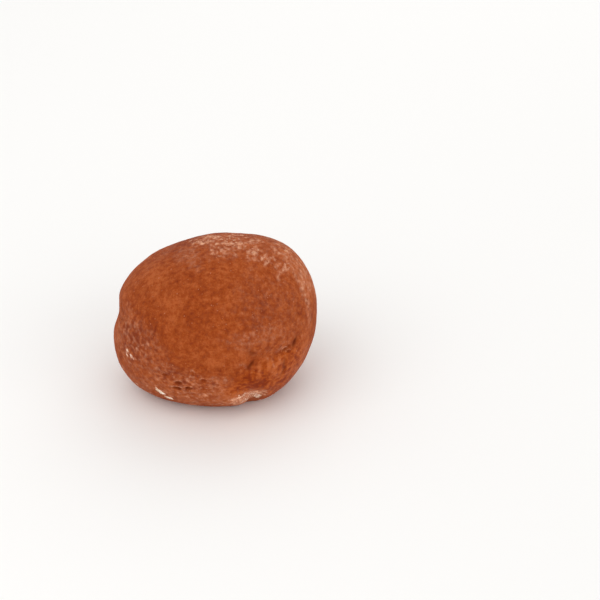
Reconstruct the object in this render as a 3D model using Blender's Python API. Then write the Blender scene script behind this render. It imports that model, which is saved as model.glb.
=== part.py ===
"""A mochi: one soft ball of rice dough that has settled on its flat underside.

Metres, +Z up. The origin is the middle of the underside, X runs along the widest way
through the ball and -Y is its front. The ball starts as a cube with gridded faces,
blown up to a sphere. Each of its points is carried out to a plump superellipsoid,
raised or lowered by the swellings, creases and unevenness that handling has left in
the dough, and cut flat where it rests. At last the whole is brought to its size.

Directions are seen from the middle of the body. A heading is in degrees round +Z,
0 at +X and -90 at the front, and a pitch is in degrees above the horizon.
"""

import math
from collections import namedtuple

import bmesh
import bpy
from mathutils import Vector, noise

# Sizes of the finished mochi, in metres
WIDTH = 0.045
DEPTH = 0.0425
HEIGHT = 0.034

# The body before it is pressed: how much of its round bottom the table takes away, and
# how square it is above and below its middle (2 is an ellipsoid).
PRESSED = 0.003
CROWN_FULLNESS = 2.0
BELLY_FULLNESS = 2.5

# Skin that comes this near the table lies on it, in metres
TOUCHING = 0.00005

# The skin's unevenness as (size of a hump, how high it stands), in metres
UNEVENNESS = ((0.011, 0.00035), (0.0045, 0.00012))
UNEVENNESS_START = Vector((0.31, 0.57, 0.83))

# Cells along each side of the starting cube, and the angle in degrees from which an
# edge, such as the underside's rim, isn't shaded smooth
CELLS = 28
SHARP_FROM = 20

DOUGH_COLOUR = (0.36, 0.072, 0.018, 1.0)
DOUGH_ROUGHNESS = 0.72

# A broad swelling, or a hollow where rise is negative. Spread is the angle in degrees
# at which it has sunk to about a third, and rise is in metres.
Swelling = namedtuple("Swelling", "heading pitch spread rise")
SWELLINGS = {
    "right shoulder": Swelling(24, 38, 28, 0.0014),
    "left shoulder, flattened": Swelling(139, 49, 38, -0.0013),
    "left cheek": Swelling(-160, -30, 26, 0.0012),
    "right flank, flattened": Swelling(-12, -18, 26, -0.0011),
    "front foot, flattened": Swelling(-95, -42, 34, -0.0013),
    "back, flattened by a thumb": Swelling(78, 8, 22, -0.0008),
}

# A crease follows great circles through its stops, each (heading, pitch, depth).
# Spread is in degrees, and depth is in metres.
Crease = namedtuple("Crease", "spread stops")
CREASES = {
    "waist at the left": Crease(
        8.0,
        ((160, -2, 0.0), (176, 4, 0.0013), (-163, 13, 0.0008), (-125, 18, 0.0)),
    ),
    "fold over the bare patch": Crease(
        4.5,
        ((-74, -4, 0.0), (-65, 2, 0.0004), (-45, 3, 0.0004), (-28, 10, 0.0)),
    ),
    "fold at the back": Crease(
        4.5,
        ((118, -24, 0.0), (106, -13, 0.0005), (84, -15, 0.0004), (66, -24, 0.0)),
    ),
    "nick at the foot": Crease(
        5.0,
        ((-84, -14, 0.0), (-68, -20, 0.0005), (-60, -34, 0.0015), (-55, -60, 0.0)),
    ),
}


def direction(heading, pitch):
    """Unit vector for a heading and a pitch in degrees."""
    turn, lift = math.radians(heading), math.radians(pitch)
    flat = math.cos(lift)
    return Vector((math.cos(turn) * flat, math.sin(turn) * flat, math.sin(lift)))


def plump_radius(way):
    """Distance from the body's middle to a superellipsoid that is fuller below."""
    downward = (1 - way.z) / 2
    fullness = CROWN_FULLNESS + (BELLY_FULLNESS - CROWN_FULLNESS) * downward
    half_height = (HEIGHT + PRESSED) / 2
    across = math.hypot(way.x / (WIDTH / 2), way.y / (DEPTH / 2))
    reach = across**fullness + abs(way.z / half_height) ** fullness
    return reach ** (-1 / fullness)


def swelling_rise(way):
    """How far the broad swellings and hollows move the skin."""
    rise = 0.0
    for spot in SWELLINGS.values():
        apart = math.degrees(way.angle(direction(spot.heading, spot.pitch)))
        rise += spot.rise * math.exp(-((apart / spot.spread) ** 2))
    return rise


def nearest_on_chord(way, start, end):
    """Share of the way from start to end that lies nearest to a direction."""
    chord = end - start
    return min(1.0, max(0.0, (way - start).dot(chord) / chord.length_squared))


def crease_depth(way):
    """How far the creases pull the skin in."""
    total = 0.0
    for crease in CREASES.values():
        deepest = 0.0
        for first, second in zip(crease.stops, crease.stops[1:]):
            start, end = direction(*first[:2]), direction(*second[:2])
            share = nearest_on_chord(way, start, end)
            apart = math.degrees(way.angle(start.lerp(end, share)))
            depth = first[2] + (second[2] - first[2]) * share
            deepest = max(deepest, depth * math.exp(-((apart / crease.spread) ** 2)))
        total += deepest
    return total


def uneven_rise(point):
    """Soft humps and dips, as dough keeps from being rolled by hand."""
    return sum(
        height * noise.noise(point / size + UNEVENNESS_START)
        for size, height in UNEVENNESS
    )


def skin_point(way):
    """Where the dough's skin lies in one direction from the body's middle."""
    plump = way * plump_radius(way)
    return plump + way * (swelling_rise(way) - crease_depth(way) + uneven_rise(plump))


def round_cube():
    """A cube with gridded faces, blown up so that its cells are nearly one size."""
    ball = bmesh.new()
    bmesh.ops.create_cube(ball, size=2)
    bmesh.ops.subdivide_edges(
        ball, edges=ball.edges[:], cuts=CELLS - 1, use_grid_fill=True
    )
    for vertex in ball.verts:
        spread_evenly = (math.tan(part * math.pi / 4) for part in vertex.co)
        vertex.co = Vector(spread_evenly).normalized()
    return ball


def press_flat(ball):
    """Cuts off the round bottom at the table, and closes the cut with one flat face."""
    table = Vector((0, 0, -(HEIGHT - PRESSED) / 2))
    cut = bmesh.ops.bisect_plane(
        ball,
        geom=ball.verts[:] + ball.edges[:] + ball.faces[:],
        dist=TOUCHING,
        plane_co=table,
        plane_no=(0, 0, 1),
        clear_inner=True,
    )
    rim = [piece for piece in cut["geom_cut"] if isinstance(piece, bmesh.types.BMEdge)]
    for edge in rim:
        for vertex in edge.verts:
            vertex.co.z = table.z
    bmesh.ops.contextual_create(ball, geom=rim)
    bmesh.ops.recalc_face_normals(ball, faces=ball.faces[:])


def bring_to_size(ball):
    """Fits the shape to the stated size, with the underside's middle at the origin."""
    for axis, size in enumerate((WIDTH, DEPTH, HEIGHT)):
        places = [vertex.co[axis] for vertex in ball.verts]
        low, high = min(places), max(places)
        start = 0.0 if axis == 2 else -size / 2
        for vertex in ball.verts:
            vertex.co[axis] = start + (vertex.co[axis] - low) * size / (high - low)


def dough_material():
    """Matte brown rice dough."""
    dough = bpy.data.materials.new("dough")
    dough.use_nodes = True
    surface = dough.node_tree.nodes["Principled BSDF"]
    surface.inputs["Base Color"].default_value = DOUGH_COLOUR
    surface.inputs["Roughness"].default_value = DOUGH_ROUGHNESS
    surface.inputs["Metallic"].default_value = 0.0
    return dough


def build_mochi(collection):
    ball = round_cube()
    for vertex in ball.verts:
        vertex.co = skin_point(vertex.co)
    press_flat(ball)
    bring_to_size(ball)
    mesh = bpy.data.meshes.new("mochi")
    ball.to_mesh(mesh)
    ball.free()
    mesh.shade_smooth()
    mesh.set_sharp_from_angle(angle=math.radians(SHARP_FROM))
    mesh.materials.append(dough_material())
    mochi = bpy.data.objects.new("mochi", mesh)
    collection.objects.link(mochi)
    return mochi


def main():
    for thing in list(bpy.data.objects):
        bpy.data.objects.remove(thing)
    collection = bpy.data.collections.new("mochi")
    bpy.context.scene.collection.children.link(collection)
    build_mochi(collection)


main()
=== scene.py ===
# Mochi: a soft ball of brown rice dough, with the starch that rolling left on its skin.
# Metres and +Z up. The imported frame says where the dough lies; mm turns real sizes to metres.
import math
import random

import bmesh
import bpy
import numpy as np
from mathutils import Matrix, Vector, noise
from mathutils.bvhtree import BVHTree


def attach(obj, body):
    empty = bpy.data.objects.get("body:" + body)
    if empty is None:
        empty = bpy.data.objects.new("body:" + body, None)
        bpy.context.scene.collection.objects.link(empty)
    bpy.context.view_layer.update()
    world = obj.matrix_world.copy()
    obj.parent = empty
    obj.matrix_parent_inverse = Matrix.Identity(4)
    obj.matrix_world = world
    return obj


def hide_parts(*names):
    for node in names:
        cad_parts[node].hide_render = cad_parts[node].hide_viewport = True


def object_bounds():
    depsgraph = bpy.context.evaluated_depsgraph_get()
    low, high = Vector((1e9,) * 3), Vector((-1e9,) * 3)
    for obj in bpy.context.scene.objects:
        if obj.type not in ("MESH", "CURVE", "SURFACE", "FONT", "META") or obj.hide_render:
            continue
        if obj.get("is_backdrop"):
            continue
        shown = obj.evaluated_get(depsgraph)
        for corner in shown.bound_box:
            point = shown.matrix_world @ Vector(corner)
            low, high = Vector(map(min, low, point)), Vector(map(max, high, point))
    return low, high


mm = 0.001
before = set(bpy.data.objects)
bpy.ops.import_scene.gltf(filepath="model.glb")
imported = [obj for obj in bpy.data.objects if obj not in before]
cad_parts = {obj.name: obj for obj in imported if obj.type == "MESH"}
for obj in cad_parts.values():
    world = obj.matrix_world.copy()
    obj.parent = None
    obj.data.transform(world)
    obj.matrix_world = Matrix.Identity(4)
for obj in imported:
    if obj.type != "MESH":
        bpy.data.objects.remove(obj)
cadLow, cadHigh = (Vector(corner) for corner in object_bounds())  # the CAD box, before any piece
cadMiddle = (cadLow + cadHigh) / 2

# A place on the skin is a direction from the dough's heart: heading in degrees round +Z,
# with 0 at +X and -90 at the front, and pitch in degrees above the horizon.
heartShare = 0.47  # of the dough's height
heart = Vector((0, 0, heartShare * cadHigh.z))
farSide = 9.0  # distance from a spot that stands for the other half of the dough


def wayTo(heading, pitch):
    turn, lift = math.radians(heading), math.radians(pitch)
    return Vector((math.cos(turn) * math.cos(lift), math.sin(turn) * math.cos(lift), math.sin(lift)))


def easeBetween(low, high, value):
    # 0 below low, 1 above high and a soft S between
    share = np.clip((value - low) / (high - low), 0, 1)
    return share * share * (3 - 2 * share)


def spotDistance(ways, heading, pitch, wide, tall, turned=0):
    # 0 in the middle of an oval spot and 1 at its edge; wide and tall are half sizes in degrees
    centre = wayTo(heading, pitch)
    east = Vector((0, 0, 1)).cross(centre).normalized()
    north = centre.cross(east)
    tilt = math.radians(turned)
    along = ways @ np.array(east * math.cos(tilt) + north * math.sin(tilt))
    across = ways @ np.array(north * math.cos(tilt) - east * math.sin(tilt))
    distance = np.hypot(along / math.sin(math.radians(wide)), across / math.sin(math.radians(tall)))
    return np.where(ways @ np.array(centre) > 0, distance, farSide)


def insideSpot(ways, spot, edge, uneven):
    # 1 in an oval spot and 0 out of it; it fades between the two distances of its edge
    return 1 - easeBetween(*edge, spotDistance(ways, *spot) + uneven)


def lineDistance(ways, stops):
    # degrees to the nearest point of a line over the skin, and how far along it that is, 0 to 1
    nearest, share = np.full(len(ways), 180.0), np.zeros(len(ways))
    legs = len(stops) - 1
    for leg in range(legs):
        start, end = np.array(wayTo(*stops[leg])), np.array(wayTo(*stops[leg + 1]))
        chord = end - start
        part = np.clip((ways - start) @ chord / (chord @ chord), 0, 1)
        point = start + part[:, None] * chord
        point /= np.linalg.norm(point, axis=1)[:, None]
        apart = np.degrees(np.arccos(np.clip((ways * point).sum(1), -1, 1)))
        closer = apart < nearest
        nearest[closer] = apart[closer]
        share[closer] = (leg + part[closer]) / legs
    return nearest, share


def lineStrength(ways, stops, width, ends=0.0, taper=0.0):
    # 1 on a line over the skin, fading sideways over its half width, and tapering to its ends
    apart, share = lineDistance(ways, stops)
    return np.exp(-((apart / width) ** 2)) * np.sin(np.pi * np.clip(share, ends, 1 - ends)) ** taper


def clouds(points, size, octaves, start):
    # noise from about -1 to 1 at each point, with humps of that size in metres;
    # each octave is half as strong as the one before and twice as fine
    step = Vector((start, 2 * start, 3 * start))
    return np.array([noise.fractal(Vector(point) / size + step, 1.0, 2.0, octaves) for point in points])


def streaks(ways, spacing, length, start):
    # noise from about -1 to 1 that is drawn out up and down the skin
    around, up = np.arctan2(ways[:, 1], ways[:, 0]), np.arcsin(ways[:, 2])
    drawn = np.column_stack([around, up]) * cadHigh.x / (spacing, length)
    return np.array([noise.noise(Vector((along, rise, start))) for along, rise in drawn])


# Where in the noise each pattern starts, so that no two fall together
noiseStarts = {
    "dimple": 1.0,
    "grain": 2.0,
    "mottle": 4.0,
    "ragged": 5.0,
    "clump": 9.0,
    "patch": 12.0,
    "streaks": 6.5,
    "wrinkles": 0.5,
}

# The skin that shows. It replaces the CAD's facets by cells of about 0.3 mm.
doughSkin = {
    "cellsPerSide": 127,  # 6 x 127 x 127 cells, just under 200,000 triangles
    "evenings": 16,  # rounds of smoothing that take the CAD's facets out
    "pulls": (0.5, -0.53),  # of each round: towards the neighbours, then back a little more
    "dimple": (2.6 * mm, 0.045 * mm),  # size and height of the soft unevenness of hand-rolled dough
    "grain": (0.9 * mm, 0.020 * mm),  # the same of its fine unevenness
    "grainLost": 0.6,  # how much of that the bare patch lacks
    "mottle": (6.0 * mm, 0.18),  # size and strength of the dough's own mottling
    "toneFade": (1.2, 0.5),  # how fast a tone fades round its spot, and how ragged it is
    "ragged": (4.2 * mm, 0.34),  # size and depth of the bays that every place has in its edge
    "freeFrom": (0.15 * mm, 1.4 * mm),  # relief starts at this height above the table and is full at that
}

# How starch lies on the skin
starchCoat = {
    "thinFilm": 0.12,  # how much of the greying film is left where nothing else is
    "blotches": 0.8,  # how much the film varies from clump to clump
    "lineBlotches": 0.25,
    "lineTaper": (0.08, 0.5),  # how near to its ends a line stays as it is, and how it thins towards them
    "edge": (0.5, 1.25),  # a place fades between these distances, in half sizes of it
    "clump": 0.85 * mm,  # size of a clump of starch
    "patch": 2.4 * mm,  # and of a patch of clumps
    "drawnOut": (1, 0.7, 1),  # rolling drew starch and blotches out from front to back
    "brokenUp": (0.25, 0.28),  # how much clumps and patches break up heaped starch
    "brokenFrom": 3,  # it is broken up fully from a third of a full heap
    "standing": (0.80, 1.3),  # how much starch makes clumps begin to stand up, and stand fully
    "thickness": 0.09 * mm,
    "crustThickness": 0.18 * mm,
    "crustEdge": (0.5, 1.3),
    "crustRagged": 0.5,
    "crustLumps": (0.65, 0.35),  # a crust's mean height, and how much its clumps add
}

# Where the dough is brighter and more orange (above 0) or darker and redder (below 0):
# heading, pitch, half width, half height, degrees turned, amount
tonedPlaces = {
    "left of the middle": (-118, 33, 7, 9, 0, 0.5),
    "left shoulder": (-150, 44, 15, 9, 0, 0.6),
    "above the waist": (-165, 20, 16, 12, 0, 0.2),
    "crown, left": (150, 64, 18, 11, 0, -0.4),
    "crown": (40, 74, 40, 16, 0, 0.1),
    "front": (-89, 5, 16, 8, 0, 0.3),
    "right of the middle": (-56, 30, 12, 10, 0, -0.2),
    "under the crown": (-68, 60, 15, 9, 0, 0.3),
    "above the pits": (-110, -6, 11, 6, 0, -0.35),
    "bare patch, left": (-76, -7, 8, 6, 0, -0.1),
    "bare patch, dark spot": (-60, -14, 4, 4, 0, -0.5),
    "bare patch, lower left": (-66, -17, 9, 5, 0, -0.75),
    "bare patch, middle": (-53, -6, 7, 8, 0, 0.35),
    "bare patch, low": (-42, -24, 14, 8, 0, -0.2),
    "right": (-27, -2, 8, 12, 0, 0.4),
    "below the cheek": (-134, -11, 10, 7, 0, 0.1),
    "left cheek": (-140, 8, 16, 16, 0, -0.4),
    "front foot": (-92, -26, 30, 12, 0, 0.25),
    "left of the nick": (-76, -26, 7, 9, 0, 0.6),
    # the two right rim tones brighten the rim: partly the dough's own tone, partly painted sheen of the
    # powder at the grazing rim
    "right rim": (6, 24, 14, 26, 0, 0.4),
    "right rim, front": (-6, 28, 8, 13, 0, 0.35),
    "back, high": (100, 50, 24, 14, 0, -0.5),
    "back, left": (150, 22, 16, 16, 0, 0.6),
    "back, right": (48, 8, 18, 16, 0, 0.5),
    "back, low": (100, -24, 26, 12, 0, -0.6),
}

# Where starch was left: heading, pitch, half width, half height, degrees turned, greying film, clumps
starchedPlaces = {
    "crown": (65, 81, 28, 16, 0, 1.6, 0.97),
    "crown, front": (-52, 78, 14, 11, 0, 1.5, 0.76),
    "crown, right": (20, 65, 32, 14, 0, 1.0, 0.80),
    "crown, right front": (-24, 62, 9, 4.5, 0, 1.0, 0.78),
    "crown, right low": (-17, 53.5, 10, 5, 0, 1.0, 0.94),
    "crown, right corner": (-9, 42, 6, 4, 0, 1.0, 0.86),
    "crown, left film": (-152, 69, 20, 9, 0, 1.5, 0.10),
    "crown, left patch": (131, 75.5, 7, 3.5, 0, 2.6, 1.15),
    "crown, left": (150, 68, 12, 7, 0, 0.4, 0.20),
    "left shoulder": (166, 55, 14, 8, 0, 0.7, 0.24),
    "right shoulder": (2, 49, 22, 12, 0, 0.9, 0.68),
    # the film at the right rim is partly starch and partly painted sheen of the powder at the grazing rim
    "right rim": (22, 28, 32, 33, 0, 1.9, 0.30),
    "right rim, front": (-6, 29, 7, 13, 0, 2.6, 0.25),
    "right of the middle": (-44, 24, 32, 30, 0, 0.6, 0.25),
    "left cheek": (-142, 4, 24, 19, 0, 1.1, 0.42),
    "below the cheek": (-121, -6, 12, 8, 0, 1.2, 0.36),
    "above the bare patch": (-63, 16, 20, 6, 0, 1.2, 0.16),
    "left flank": (-178, -20, 22, 22, 0, 0.7, 0.38),
    "front foot": (-100, -26, 42, 18, 0, 1.3, 0.44),
    "left foot": (-152, -28, 24, 14, 0, 0.8, 0.58),
    "by the pits": (-104, -12, 16, 8, 0, 1.2, 0.52),
    "right of the pits": (-86, -12, 10, 6, 0, 1.7, 0.40),
    "by the torn spot": (-44, 4, 8, 4, 10, 0.9, 0.40),
    "back, rubbed blotch": (112, 34, 20, 12, 20, 1.2, 1.10),
    "back, right": (60, 18, 20, 22, 0, 1.1, 0.70),
    "back, low left": (150, -8, 22, 16, -10, 1.1, 0.70),
    "back foot": (80, -36, 50, 14, 0, 0.9, 0.62),
    "right foot": (0, -44, 30, 12, 0, 0.7, 0.58),
    "underside": (0, -90, 62, 62, 0, 0.9, 0.75),
}

# Pale lines where starch was pushed together: stops, half width in degrees, greying film, clumps
starchLines = {
    "right rim": (((-4, 42), (-9, 35), (-13, 28), (-16, 21), (-18, 14), (-19, 7)), 2.8, 3.6, 0.0),
    "right shoulder": (((-29, 37), (-25, 42), (-18, 43), (-13, 40), (-8, 36)), 1.3, 3.4, 0.40),
    "back, ring": (((74, 16), (66, 24), (56, 24), (50, 16), (54, 7), (63, 5)), 1.0, 1.4, 0.95),
    "back, high": (((150, 52), (128, 50), (108, 52), (92, 60)), 1.0, 1.4, 0.90),
}

# Starch that caked to an ivory crust: heading, pitch, half width, half height, degrees turned, thickness
cakedPlaces = {
    "left cheek, tall": (-145.2, -3.6, 2.2, 3.3, 0, 0.58),
    "left cheek, right": (-141.0, -4.2, 2.5, 2.2, 0, 0.60),
    "left foot, long": (-125.2, -25.6, 2.1, 4.4, 25, 1.0),
    "left foot, short": (-121.6, -31.6, 2.8, 2.8, 0, 1.0),
    "nick, left": (-70, -26, 5.0, 3.0, 8, 0.5),
    "nick, middle": (-64, -34.5, 5.0, 6.0, 0, 0.6),
    "nick, stroke": (-57.5, -34, 2.4, 8.5, 30, 0.85),
    "back, chip": (38, -10, 4.6, 2.9, 35, 0.60),
    "back, dot": (57, 2, 2.4, 1.6, 60, 0.60),
}

# Small pits: heading, pitch, half width, half height, depth, height of the pale lip above it
pits = {
    "left, upper": (-109.9, -13.8, 2.1, 1.9, 0.24 * mm, 0.05 * mm),
    "left, lower": (-111.9, -18.6, 3.0, 1.7, 0.26 * mm, 0.04 * mm),
    "right": (-104.4, -18.0, 2.4, 2.0, 0.28 * mm, 0.06 * mm),
    "middle, small": (-106.6, -8.4, 1.0, 1.0, 0.08 * mm, 0.03 * mm),
    "upper left": (-117.5, -8.6, 1.9, 1.2, 0.08 * mm, 0.03 * mm),
    "upper right": (-100.8, -5.0, 1.1, 2.2, 0.08 * mm, 0.02 * mm),
    "far right": (-94.6, -10.0, 1.9, 1.8, 0.12 * mm, 0.03 * mm),
    "far right, low": (-94.8, -17.6, 2.4, 1.1, 0.08 * mm, 0.02 * mm),
    "torn spot": (-43.6, 1.6, 1.9, 1.5, 0.20 * mm, 0.06 * mm),
    "torn spot, right": (-40.6, 2.8, 1.3, 0.9, 0.15 * mm, 0.05 * mm),
    "torn spot, low": (-41.4, -0.4, 1.5, 1.0, 0.17 * mm, 0.03 * mm),
    "back": (97, -5, 2.7, 1.4, 0.14 * mm, 0.05 * mm),
    "back, small": (91.5, -7.5, 1.7, 1.1, 0.10 * mm, 0.04 * mm),
}

# What all pits share. Distances are in half sizes of the pit.
pitForm = {
    "wall": (0.6, 1.1),
    "ragged": 0.18,
    "lip": (1.15, 0.28),  # its distance from the pit's middle, and its half width
    "lipHeights": (-0.2, 0.9),  # the lip starts at this height in the pit, and is full at that
    "lipFilm": 3.6,
    "lipClumps": 0.7,
    "fullyShadedDepth": 0.4 * mm,  # depth at which a pit's painted shade is as dark as a cut's
}

# Folds and cuts in the skin: stops, half width in degrees, depth, and how dark the painted shade along it
# gets
folds = {
    "bare patch, edge": (
        ((-84, -8), (-80, -3), (-72, 0), (-66, 1), (-59, -2), (-52, 0), (-43, 2), (-35, 4), (-27, 9)),
        1.6,
        0.06 * mm,
        0.12,
    ),
    "bare patch, left smudge": (((-68.0, 9.5), (-66.0, 7.0), (-63.5, 4.5)), 1.8, 0.08 * mm, 0.55),
    "bare patch, left cut": (((-64.4, 2.0), (-66.4, -0.4), (-69.0, -3.0)), 1.1, 0.22 * mm, 1.0),
    "bare patch, right cut": (((-34.4, 6.0), (-36.0, 3.6), (-38.4, 0.8)), 1.5, 0.24 * mm, 1.0),
    "bare patch, crease": (((-44, -3), (-44.5, -7), (-44, -11), (-46.5, -17)), 1.2, 0.16 * mm, 0.6),
    "nick at the foot": (((-60, -23), (-55, -29), (-52, -37), (-51, -50)), 2.2, 0.26 * mm, 0.15),
    "waist, upper": (((-172, 17), (-163, 14), (-152, 15)), 1.6, 0.10 * mm, 0.3),
    "waist, lower": (((-178, 6), (-167, 8), (-156, 11), (-146, 11)), 1.5, 0.12 * mm, 0.3),
    "back fold": (((118, -24), (106, -13), (95, -13), (84, -15), (66, -24)), 1.6, 0.14 * mm, 0.35),
    "back cut": (((88, -12.5), (84, -15), (81, -18)), 1.0, 0.30 * mm, 0.9),
}
foldTaper = (0.06, 0.6)  # how near to its ends a fold stays as it is, and how it thins towards them

# Moist dough with no starch on it. The nick at its lower left is full of starch again.
barePatch = {
    "spot": (-49, -18, 33, 21, 6),
    "edge": (0.78, 1.02),
    "ragged": 0.4,
    "nick": (-65, -32, 16, 12, 0),
    "nickEdge": (0.5, 1.1),
    "nickRagged": 0.25,
    "nickFilm": 3.0,
    "nickClumps": 1.15,
    "streaked": (-56, -8, 14, 13, 0),
    "streakedEdge": (0.6, 1.2),
    "streaks": (0.85 * mm, 2.0 * mm),  # width and length of its paler streaks, painted highlights of the moist dough
    "paintedHighlightTone": 0.6,
    "clumpTone": 0.95,
    # a little starch rubbed across it: stops, half width in degrees, film
    "smears": (
        (((-53, 0), (-52.6, -3), (-52, -6)), 0.8, 2.2),
        (((-51.5, -8), (-50.5, -13)), 3.0, 0.8),
        (((-48, -3), (-46.5, -7)), 0.9, 1.6),
        (((-75, 0), (-72, 1.6), (-70, -1)), 1.2, 1.2),
        (((-62, -3), (-61, -9)), 1.8, 0.5),
    ),
    "smearBlotches": 0.5,
}

# Skin speckled with small darker and brighter spots, round the front pits
speckledFoot = {
    "spot": (-108, -13, 24, 11, 0),
    "edge": (0.5, 1.2),
    "clumpTone": 0.9,
}

# Skin puckered into fine upright wrinkles
wrinkledCheek = {
    "spot": (-139, 8, 22, 18, 0),
    "edge": (0.5, 1.2),
    "ragged": 0.5,
    "wrinkles": (0.75 * mm, 3.2 * mm),  # their spacing and length
    "height": 0.035 * mm,
    "wrinkleFilm": 0.5,
    # the tone follows the wrinkles, darker in their troughs and paler on their crests: painted shade
    "wrinklePaintedShade": 0.3,
    "clumpTone": 0.6,
}


def gridBall(cells):
    # a cube with gridded faces, blown up to a ball of nearly even cells
    ball = bmesh.new()
    bmesh.ops.create_cube(ball, size=2)
    bmesh.ops.subdivide_edges(ball, edges=ball.edges[:], cuts=cells - 1, use_grid_fill=True)
    for vertex in ball.verts:
        vertex.co = Vector(math.tan(part * math.pi / 4) for part in vertex.co).normalized()
    return ball


def evened(places, edges):
    # smoothing that keeps the volume
    count = np.bincount(edges.ravel(), minlength=len(places))[:, None]
    for pull in doughSkin["pulls"] * doughSkin["evenings"]:
        total = np.zeros_like(places)
        for one, other in ((0, 1), (1, 0)):
            for axis in range(3):
                total[:, axis] += np.bincount(edges[:, one], places[edges[:, other], axis], len(places))
        places = places + pull * (total / count - places)
    return places


def normalsOf(mesh, places):
    mesh.vertices.foreach_set("co", places.ravel())
    mesh.update()
    normals = np.empty(len(places) * 3)
    mesh.vertex_normals.foreach_get("vector", normals)
    return normals.reshape(-1, 3)


def laidOver(node):
    # a ball of even cells, drawn onto the CAD's facets and smoothed there
    facets = bmesh.new()
    facets.from_mesh(node.data)
    shape = BVHTree.FromBMesh(facets)
    facets.free()
    ball = gridBall(doughSkin["cellsPerSide"])
    for vertex in ball.verts:
        vertex.co = shape.ray_cast(heart, vertex.co)[0]
    mesh = bpy.data.meshes.new("doughSkin")
    ball.to_mesh(mesh)
    ball.free()
    places = np.empty(len(mesh.vertices) * 3)
    mesh.vertices.foreach_get("co", places)
    edges = np.empty(len(mesh.edges) * 2, np.int64)
    mesh.edges.foreach_get("vertices", edges)
    return mesh, evened(places.reshape(-1, 3), edges.reshape(-1, 2))


def rolledStarch(ways, clump, ragged):
    # the film and the heaped starch that rolling left; at the right rim the film is partly painted sheen
    film, heaped = np.full(len(ways), starchCoat["thinFilm"]), np.zeros(len(ways))
    for *spot, filmed, clumped in starchedPlaces.values():
        inside = insideSpot(ways, spot, starchCoat["edge"], ragged)
        film = np.maximum(film, filmed * inside)
        heaped = np.maximum(heaped, clumped * inside)
    film *= 1 + starchCoat["blotches"] * clump
    for stops, width, filmed, clumped in starchLines.values():
        line = lineStrength(ways, stops, width, *starchCoat["lineTaper"])
        film = np.maximum(film, filmed * line * (1 + starchCoat["lineBlotches"] * clump))
        heaped = np.maximum(heaped, clumped * line)
    return film, heaped


def toneOf(ways, places, ragged):
    # the dough's own mottling, and the places that are brighter or darker
    size, strength = doughSkin["mottle"]
    tone = strength * clouds(places, size, 2, noiseStarts["mottle"])
    fade, uneven = doughSkin["toneFade"]
    for *spot, amount in tonedPlaces.values():
        tone += amount * np.exp(-fade * (spotDistance(ways, *spot) + uneven * ragged) ** 2)
    return tone


def folded(ways, rise, dark):
    # each fold is a groove in the relief, darkened along its line with painted shade
    for stops, width, depth, paintedShade in folds.values():
        groove = lineStrength(ways, stops, width, *foldTaper)
        rise = rise - depth * groove
        dark = np.maximum(dark, paintedShade * groove)
    return rise, dark


def pitted(ways, clump, rise, dark, film, heaped):
    # each pit is a hole darkened with painted shade by its depth, has no starch, and has a pale lip along
    # its upper side
    lipAt, lipWidth = pitForm["lip"]
    pitches = np.degrees(np.arcsin(ways[:, 2]))
    for heading, pitch, wide, tall, depth, lip in pits.values():
        reach = spotDistance(ways, heading, pitch, wide, tall) + pitForm["ragged"] * clump
        hole = 1 - easeBetween(*pitForm["wall"], reach)
        above = easeBetween(*pitForm["lipHeights"], (pitches - pitch) / tall)
        edge = np.exp(-(((reach - lipAt) / lipWidth) ** 2)) * above
        rise = rise + (lip * edge - depth * hole)
        dark = np.maximum(dark, depth / pitForm["fullyShadedDepth"] * hole)
        film = np.maximum(film, pitForm["lipFilm"] * edge) * (1 - hole)
        heaped = np.maximum(heaped, pitForm["lipClumps"] * edge) * (1 - hole)
    return rise, dark, film, heaped


def cakedStarch(ways, clump):
    caked = np.zeros(len(ways))
    for *spot, thickness in cakedPlaces.values():
        inside = insideSpot(ways, spot, starchCoat["crustEdge"], starchCoat["crustRagged"] * clump)
        caked = np.maximum(caked, thickness * inside)
    return caked


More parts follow.
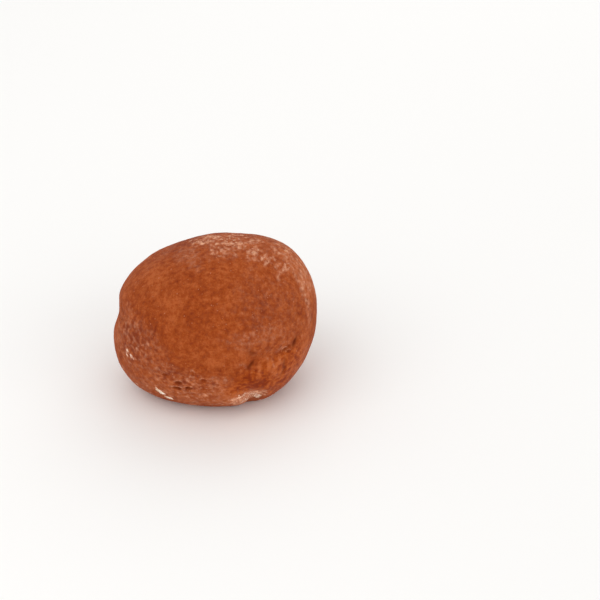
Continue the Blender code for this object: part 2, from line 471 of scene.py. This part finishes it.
def makeDoughSkin(node):
    mesh, places = laidOver(node)
    normals = normalsOf(mesh, places)
    ways = places - np.array(heart)
    ways /= np.linalg.norm(ways, axis=1)[:, None]
    print("skin laid over the frame:", len(places), "points")

    drawnOut = places * starchCoat["drawnOut"]
    clump = clouds(drawnOut, starchCoat["clump"], 2, noiseStarts["clump"])
    patch = clouds(drawnOut, starchCoat["patch"], 2, noiseStarts["patch"])
    size, depth = doughSkin["ragged"]
    ragged = depth * clouds(places, size, 3, noiseStarts["ragged"])

    # starch, with the bare patch kept free of it and the nick filled
    film, heaped = rolledStarch(ways, clump, ragged)
    nick = insideSpot(ways, barePatch["nick"], barePatch["nickEdge"], barePatch["nickRagged"] * clump)
    bare = insideSpot(ways, barePatch["spot"], barePatch["edge"], barePatch["ragged"] * ragged) * (1 - nick)
    film = np.maximum(film * (1 - bare), barePatch["nickFilm"] * nick)
    heaped = np.maximum(heaped * (1 - bare), barePatch["nickClumps"] * nick)
    # paler streaks over the moist patch: painted highlights, drawn as a paler tone and as a thin film
    streak = streaks(ways, *barePatch["streaks"], noiseStarts["streaks"])
    streak *= insideSpot(ways, barePatch["streaked"], barePatch["streakedEdge"], ragged)
    film = np.maximum(film, streak)
    for stops, width, filmed in barePatch["smears"]:
        smear = filmed * lineStrength(ways, stops, width)
        film = np.maximum(film, smear * (1 + barePatch["smearBlotches"] * clump))

    inFoot = insideSpot(ways, speckledFoot["spot"], speckledFoot["edge"], ragged)
    uneven = wrinkledCheek["ragged"] * ragged
    inCheek = insideSpot(ways, wrinkledCheek["spot"], wrinkledCheek["edge"], uneven)
    wrinkle = streaks(ways, *wrinkledCheek["wrinkles"], noiseStarts["wrinkles"]) * inCheek
    film *= 1 + wrinkledCheek["wrinkleFilm"] * wrinkle
    tone = toneOf(ways, places, ragged)
    tone += (barePatch["paintedHighlightTone"] * streak + barePatch["clumpTone"] * clump) * bare
    tone += speckledFoot["clumpTone"] * clump * inFoot
    # the wrinkles' troughs are painted darker and their crests paler: painted shade
    tone += (wrinkledCheek["wrinklePaintedShade"] * wrinkle + wrinkledCheek["clumpTone"] * clump) * inCheek

    # relief
    size, height = doughSkin["dimple"]
    rise = height * clouds(places, size, 2, noiseStarts["dimple"])
    size, height = doughSkin["grain"]
    rise += height * clouds(places, size, 2, noiseStarts["grain"]) * (1 - doughSkin["grainLost"] * bare)
    rise += wrinkledCheek["height"] * wrinkle
    rise, dark = folded(ways, rise, np.zeros(len(ways)))
    rise, dark, film, heaped = pitted(ways, clump, rise, dark, film, heaped)

    # clumps stand up where much starch was left, and break up towards the edge of each place
    byClump, byPatch = starchCoat["brokenUp"]
    broken = np.minimum(1, starchCoat["brokenFrom"] * heaped)
    starch = heaped + (byClump * clump + byPatch * patch) * broken
    standing = easeBetween(*starchCoat["standing"], starch)
    rise += starchCoat["thickness"] * standing
    caked = cakedStarch(ways, clump)
    mean, lumpy = starchCoat["crustLumps"]
    rise += starchCoat["crustThickness"] * caked * (mean + lumpy * clump)

    free = easeBetween(*doughSkin["freeFrom"], places[:, 2])
    places = places + normals * (rise * free)[:, None]
    places[:, 2] = np.maximum(places[:, 2], 0)
    normals = normalsOf(mesh, places)
    dark *= free
    # the attribute dark holds the painted shade of the folds, cuts and pits
    amounts = {"tone": tone, "film": film, "starch": starch, "bare": bare, "dark": dark, "caked": caked}
    for name, values in amounts.items():
        mesh.attributes.new(name, "FLOAT", "POINT").data.foreach_set("value", values.astype(np.float32))
    mesh.shade_smooth()
    skin = bpy.data.objects.new("doughSkin", mesh)
    bpy.context.scene.collection.objects.link(skin)
    print("relief and left starch worked into the skin")
    return skin, places, normals, standing, caked


# Loose grains of starch. Real ones are too fine to show, so these are the crumbs of 0.1 to 0.45 mm
# that they cling together in.
starchGrains = {
    # where: how many, range of their radius, range of their shade from brown (0) to ivory (1)
    "onClumps": (1800, (0.06 * mm, 0.15 * mm), (0.3, 0.85)),
    "onSkin": (420, (0.06 * mm, 0.15 * mm), (0.1, 0.6)),
    "onCrusts": (160, (0.07 * mm, 0.15 * mm), (0.85, 1.0)),
    "length": (0.8, 1.5),  # range of a grain's length, with its width as 1
    "flatness": 0.6,
    "sunk": 0.1,  # share of the radius that is in the dough
    "scatter": 0.2,  # mm, how far a grain may lie from its point of the skin
    "aboveTable": 0.5 * mm,
    "shapes": 5,
    "lumps": (1.4, 0.5),  # how many and how high on a grain
    "seed": 11,
}


def grainShapes():
    # a few uneven balls of radius 1 that the grains are copied from
    shapes = []
    many, high = starchGrains["lumps"]
    for number in range(starchGrains["shapes"]):
        ball = bmesh.new()
        bmesh.ops.create_icosphere(ball, subdivisions=1, radius=1)
        start = Vector((7.3 * number, 1.7, 0.4))  # another stretch of the noise for each
        for vertex in ball.verts:
            vertex.co *= 1 + high * noise.noise(vertex.co * many + start)
        corners = np.array([vertex.co[:] for vertex in ball.verts])
        faces = np.array([[vertex.index for vertex in face.verts] for face in ball.faces])
        ball.free()
        shapes.append((corners, faces))
    return shapes


def joinedCopies(name, shapes, placings, tints):
    # one mesh of many small copies, each with its own shade in the attribute "tint"
    corners, faces, shades, start = [], [], [], 0
    for number, (placing, tint) in enumerate(zip(placings, tints)):
        shapeCorners, shapeFaces = shapes[number % len(shapes)]
        matrix = np.array(placing)
        corners.append(shapeCorners @ matrix[:3, :3].T + matrix[:3, 3])
        faces.append(shapeFaces + start)
        shades.append(np.full(len(shapeCorners), tint))
        start += len(shapeCorners)
    mesh = bpy.data.meshes.new(name)
    mesh.from_pydata(np.concatenate(corners), [], np.concatenate(faces))
    shade = mesh.attributes.new("tint", "FLOAT", "POINT")
    shade.data.foreach_set("value", np.concatenate(shades).astype(np.float32))
    mesh.shade_smooth()
    piece = bpy.data.objects.new(name, mesh)
    bpy.context.scene.collection.objects.link(piece)
    return piece


def makeStarchGrains(places, normals, standing, caked):
    draw = random.Random(starchGrains["seed"])
    clear = places[:, 2] > starchGrains["aboveTable"]
    scatter = starchGrains["scatter"]
    likelihoods = {"onClumps": standing**2, "onSkin": np.ones(len(places)), "onCrusts": caked**3}
    placings, tints = [], []
    for where, likely in likelihoods.items():
        count, radii, shades = starchGrains[where]
        for index in draw.choices(range(len(places)), weights=(likely * clear).tolist(), k=count):
            radius = draw.uniform(*radii)
            normal = Vector(normals[index])
            spin = Matrix.Rotation(draw.uniform(0, math.tau), 3, "Z")
            turn = normal.to_track_quat("Z", "Y").to_matrix() @ spin
            length = radius * draw.uniform(*starchGrains["length"])
            size = Matrix.Diagonal((length, radius, radius * starchGrains["flatness"]))
            aside = Vector((draw.uniform(-scatter, scatter) * mm, draw.uniform(-scatter, scatter) * mm, 0))
            place = Vector(places[index]) + turn @ aside - normal * radius * starchGrains["sunk"]
            placings.append(Matrix.Translation(place) @ (turn @ size).to_4x4())
            tints.append(draw.uniform(*shades))
    print("starch grains scattered:", len(placings))
    return joinedCopies("starchGrains", grainShapes(), placings, tints)


def linearColour(code):
    # an sRGB hex value as the linear colour that shaders work in
    parts = [int(code[start : start + 2], 16) / 255 for start in (0, 2, 4)]
    return (*(part / 12.92 if part <= 0.04045 else ((part + 0.055) / 1.055) ** 2.4 for part in parts), 1.0)


def addNode(tree, kind, settings=None, links=None, output=0):
    # adds a node with its settings, by property or socket, and its links, and gives one of its outputs
    node = tree.nodes.new(kind)
    for name, value in (settings or {}).items():
        if isinstance(name, str) and hasattr(node, name):
            setattr(node, name, value)
        else:
            node.inputs[name].default_value = value
    for name, source in (links or {}).items():
        tree.links.new(source, node.inputs[name])
    return node.outputs[output]


def newMaterial(name, sockets):
    # a material whose shader has these constant settings
    material = bpy.data.materials.new(name)
    material.use_nodes = True
    tree = material.node_tree
    shader = tree.nodes["Principled BSDF"]
    for socket, value in sockets.items():
        shader.inputs[socket].default_value = value
    return material, tree, shader


mathNode, rangeNode, mixNode = "ShaderNodeMath", "ShaderNodeMapRange", "ShaderNodeMix"
vectorNode, noiseNode, rampNode = "ShaderNodeVectorMath", "ShaderNodeTexNoise", "ShaderNodeValToRGB"
rangeSockets = ("From Min", "From Max", "To Min", "To Max")

# Steamed brown rice dough, rolled in starch: dull and faintly see-through, smoother where it is
# moist. Real starch is far finer than the flecks and crumbs drawn here, which are the size of the
# clumps that it clings in. A range runs from two values to two others.
riceDough = {
    "rolled": ("7b2d0d", "954013", "ad572a"),  # from the dough's dark spots to its bright ones
    # the paler streaks, painted highlights, take the moist dough towards its bright end
    "moist": ("7e2a02", "9c420a", "b25824"),
    "rampAt": (0.34, 0.5, 0.66),
    "toneShare": 0.22,  # how far a tone of 1 shifts the dough along these colours
    "starch": "f2b693",
    "ivory": "fff2e4",
    # the colour of the painted shade in folds, cuts and pits
    "fold": "5e1c00",
    "grain": (1.3, 6, 0.8),  # size in mm, finer octaves and how strong they are
    "fleck": (0.85, 4, 0.6),
    "filmRange": (0.42, 0.64, 0.03, 0.12),  # fleck noise to the film's share of starch
    "crumb": 1.1,  # mm
    "warp": (0.9, 0.5),  # size in mm of the waves that bend the crumbs, and their strength in crumbs
    "crumbWeights": (-1.1, 0.8, 1.4),  # of the distance from a crumb's middle, its own shade, the flecks
    "coverRange": (1.25, 2.2, 0, 1),  # heaped starch to the share of skin under crumbs
    "clumpRange": (0.3, 1.0, 0.1, 0.70),  # amount of starch to how much a crumb hides the dough
    "crustFlecks": 1.4,
    "crustRange": (1.0, 1.7, 0, 1),  # caked starch and flecks to how much a crust hides the dough
    "ivoryPower": 2.0,  # only thick crusts are clean enough to be ivory
    "roughness": (0.80, 0.54),  # rolled and moist
    "bump": (0.8, 0.10 * mm),  # strength and distance
    "sockets": {
        "IOR": 1.45,
        "Specular IOR Level": 0.09,
        "Subsurface Weight": 0.12,
        "Subsurface Radius": (1.0, 0.42, 0.18),
        "Subsurface Scale": 1.6 * mm,
        "Sheen Weight": 0.03,
        "Sheen Roughness": 0.45,
        "Sheen Tint": linearColour("f2d4c0"),
    },
}


def riceDoughMaterial():
    material, tree, shader = newMaterial("riceDough", riceDough["sockets"])
    place = addNode(tree, "ShaderNodeTexCoord", output="Object")
    settings = {"operation": "MULTIPLY", 1: starchCoat["drawnOut"]}
    drawnOut = addNode(tree, vectorNode, settings, {0: place})
    tone, film, starch, bare, dark, caked = (
        addNode(tree, "ShaderNodeAttribute", {"attribute_name": name}, output="Fac")
        for name in ("tone", "film", "starch", "bare", "dark", "caked")
    )
    size, octaves, strength = riceDough["grain"]
    settings = {"Scale": 1 / (size * mm), "Detail": octaves, "Roughness": strength}
    grain = addNode(tree, noiseNode, settings, {"Vector": place})
    size, octaves, strength = riceDough["fleck"]
    settings = {"Scale": 1 / (size * mm), "Detail": octaves, "Roughness": strength}
    fleck = addNode(tree, noiseNode, settings, {"Vector": drawnOut})

    # dough: a ramp of colours for rolled skin and one for moist skin. The grain that also raises the bump
    # takes the dough towards its dark colours where the bump is low: partly the dough's own mottling,
    # partly painted shade in its hollows.
    settings = {"operation": "MULTIPLY_ADD", 1: riceDough["toneShare"]}
    shade = addNode(tree, mathNode, settings, {0: tone, 2: grain})
    ramps = []
    for finish in ("rolled", "moist"):
        ramp = addNode(tree, rampNode, links={"Fac": shade})
        stops = ramp.node.color_ramp.elements
        stops.new(riceDough["rampAt"][1])
        for stop, position, colour in zip(stops, riceDough["rampAt"], riceDough[finish]):
            stop.position, stop.color = position, linearColour(colour)
        ramps.append(ramp)
    dough = addNode(tree, mixNode, {"data_type": "RGBA"}, {0: bare, 6: ramps[0], 7: ramps[1]}, 2)

    # starch: a film that only greys the dough, and clumps that break up into crumbs
    settings = {"interpolation_type": "SMOOTHSTEP", **dict(zip(rangeSockets, riceDough["filmRange"]))}
    patchy = addNode(tree, rangeNode, settings, {"Value": fleck})
    greyed = addNode(tree, mathNode, {"operation": "MULTIPLY"}, {0: film, 1: patchy})
    crumb, (waves, bend) = riceDough["crumb"] * mm, riceDough["warp"]
    warp = addNode(tree, noiseNode, {"Scale": 1 / (waves * mm), "Detail": 1}, {"Vector": drawnOut}, 1)
    settings = {"operation": "MULTIPLY_ADD", 1: (bend * crumb,) * 3}
    warped = addNode(tree, vectorNode, settings, {0: warp, 2: drawnOut})
    distance = addNode(tree, "ShaderNodeTexVoronoi", {"Scale": 1 / crumb}, {"Vector": warped})
    crumbShade = distance.node.outputs["Color"]
    heaped = starch
    for weight, pattern in zip(riceDough["crumbWeights"], (distance, crumbShade, fleck)):
        heaped = addNode(tree, mathNode, {"operation": "MULTIPLY_ADD", 1: weight}, {0: pattern, 2: heaped})
    settings = dict(zip(rangeSockets, riceDough["coverRange"]))
    cover = addNode(tree, rangeNode, settings, {"Value": heaped})
    settings = dict(zip(rangeSockets, riceDough["clumpRange"]))
    thickness = addNode(tree, rangeNode, settings, {"Value": starch})
    crumbs = addNode(tree, mathNode, {"operation": "MULTIPLY"}, {0: cover, 1: thickness})
    white = addNode(tree, mathNode, {"operation": "ADD"}, {0: greyed, 1: crumbs})

    # crusts: as pale as starch, and ivory where they are thick
    settings = {"operation": "MULTIPLY_ADD", 1: riceDough["crustFlecks"]}
    crusted = addNode(tree, mathNode, settings, {0: fleck, 2: caked})
    settings = {"interpolation_type": "SMOOTHSTEP", **dict(zip(rangeSockets, riceDough["crustRange"]))}
    crust = addNode(tree, rangeNode, settings, {"Value": crusted})
    pale = addNode(tree, mathNode, {"operation": "MAXIMUM"}, {0: white, 1: crust})
    cleanest = addNode(tree, mathNode, {"operation": "POWER", 1: riceDough["ivoryPower"]}, {0: crust})

    # starch, then ivory crusts, then the painted shade of folds, cuts and pits laid over the dough
    colour = dough
    for share, tint in ((pale, "starch"), (cleanest, "ivory"), (dark, "fold")):
        settings = {"data_type": "RGBA", 7: linearColour(riceDough[tint])}
        colour = addNode(tree, mixNode, settings, {0: share, 6: colour}, 2)
    tree.links.new(colour, shader.inputs["Base Color"])

    rolled, moist = riceDough["roughness"]
    settings = {"operation": "MULTIPLY_ADD", 1: moist - rolled, 2: rolled}
    tree.links.new(addNode(tree, mathNode, settings, {0: bare}), shader.inputs["Roughness"])
    strength, reach = riceDough["bump"]
    height = addNode(tree, mathNode, {"operation": "ADD"}, {0: white, 1: grain})
    bump = addNode(tree, "ShaderNodeBump", {"Strength": strength, "Distance": reach}, {"Height": height})
    tree.links.new(bump, shader.inputs["Normal"])
    print("rice dough mixed")
    return material


# Dry rice starch, browned by the dough it clings to; the cleanest crumbs are ivory. It is chalky
# and has no gloss.
starchPowder = {
    "shades": ("98502e", "c67c5a", "f4dabc"),
    "shadeAt": (0.0, 0.7, 1.0),
    "speckle": 0.12 * mm,  # coarser than real powder, so that it shows
    "bump": (0.5, 0.02 * mm),
    "sockets": {"Roughness": 0.9, "Specular IOR Level": 0.2},
}


def starchPowderMaterial():
    material, tree, shader = newMaterial("starchPowder", starchPowder["sockets"])
    tint = addNode(tree, "ShaderNodeAttribute", {"attribute_name": "tint"}, output="Fac")
    ramp = addNode(tree, rampNode, links={"Fac": tint})
    stops = ramp.node.color_ramp.elements
    stops.new(starchPowder["shadeAt"][1])
    for stop, position, colour in zip(stops, starchPowder["shadeAt"], starchPowder["shades"]):
        stop.position, stop.color = position, linearColour(colour)
    place = addNode(tree, "ShaderNodeTexCoord", output="Object")
    settings = {"Scale": 1 / starchPowder["speckle"], "Detail": 2}
    speckle = addNode(tree, noiseNode, settings, {"Vector": place})
    strength, reach = starchPowder["bump"]
    bump = addNode(tree, "ShaderNodeBump", {"Strength": strength, "Distance": reach}, {"Height": speckle})
    tree.links.new(ramp, shader.inputs["Base Color"])
    tree.links.new(bump, shader.inputs["Normal"])
    return material


# Pale seamless board, as for a product shot, and soft light from all round. The fill light stands
# low, so it is large and far off: its plane then cuts no edge across the board that shows.
studio = {
    "boardHalf": 3.0,
    "board": {
        "Base Color": linearColour("f6f5f3"),
        "Roughness": 0.9,
        "Specular IOR Level": 0.1,
    },
    "sky": "ffffff",
    "skyStrength": 0.78,
    # name: place in metres, side in metres, watts
    "lamps": {
        "key": ((-0.30, -0.32, 0.45), 0.6, 1.05),
        "fill": ((2.00, -1.90, 0.73), 3.0, 28.5),
        "back": ((0.12, 0.42, 0.40), 0.5, 0.5),
    },
}


def makeStudio():
    half = studio["boardHalf"]
    corners = [(-half, -half, 0), (half, -half, 0), (half, half, 0), (-half, half, 0)]
    mesh = bpy.data.meshes.new("floor")
    mesh.from_pydata(corners, [], [(0, 1, 2, 3)])
    mesh.materials.append(newMaterial("matteBoard", studio["board"])[0])
    floor = bpy.data.objects.new("floor", mesh)
    bpy.context.scene.collection.objects.link(floor)
    floor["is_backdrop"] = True
    for name, (place, side, watts) in studio["lamps"].items():
        light = bpy.data.lights.new(name, "AREA")
        light.size, light.energy = side, watts
        lamp = bpy.data.objects.new(name, light)
        lamp.location = place
        lamp.rotation_euler = (cadMiddle - Vector(place)).to_track_quat("-Z", "Y").to_euler()
        bpy.context.scene.collection.objects.link(lamp)
    world = bpy.data.worlds.new("studio")
    world.use_nodes = True
    sky = world.node_tree.nodes["Background"]
    sky.inputs["Color"].default_value = linearColour(studio["sky"])
    sky.inputs["Strength"].default_value = studio["skyStrength"]
    bpy.context.scene.world = world
    bpy.context.scene.view_settings.view_transform = "Standard"


# The camera looks along +Y from above; the dough's middle falls on middlePixel of a square frame
camera = {
    "elevation": 30,
    "lens": 85,
    "sensor": 36,
    "distance": 0.314,
    "frameSide": 600,
    "middlePixel": (215.5, 312.5),
    "clipStart": 0.01,
}


def makeCamera():
    lift = math.radians(camera["elevation"])
    back, up = Vector((0, -math.cos(lift), math.sin(lift))), Vector((0, math.sin(lift), math.cos(lift)))
    side = camera["frameSide"]
    pixel = camera["distance"] * camera["sensor"] / camera["lens"] / side
    acrossPixel, downPixel = camera["middlePixel"]
    data = bpy.data.cameras.new("camera")
    data.lens, data.sensor_width = camera["lens"], camera["sensor"]
    data.clip_start = camera["clipStart"]
    eye = bpy.data.objects.new("camera", data)
    aside = Vector((side / 2 - acrossPixel, 0, 0)) * pixel + up * (downPixel - side / 2) * pixel
    eye.location = cadMiddle + back * camera["distance"] + aside
    eye.rotation_euler = (math.radians(90 - camera["elevation"]), 0, 0)
    bpy.context.scene.collection.objects.link(eye)
    bpy.context.scene.camera = eye


makeCamera()
makeStudio()
print("studio and camera set up")

skin, places, normals, standing, caked = makeDoughSkin(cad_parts["mochi"])
skin.data.materials.append(riceDoughMaterial())
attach(skin, "root")
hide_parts("mochi")

grains = makeStarchGrains(places, normals, standing, caked)
grains.data.materials.append(starchPowderMaterial())
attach(grains, "root")
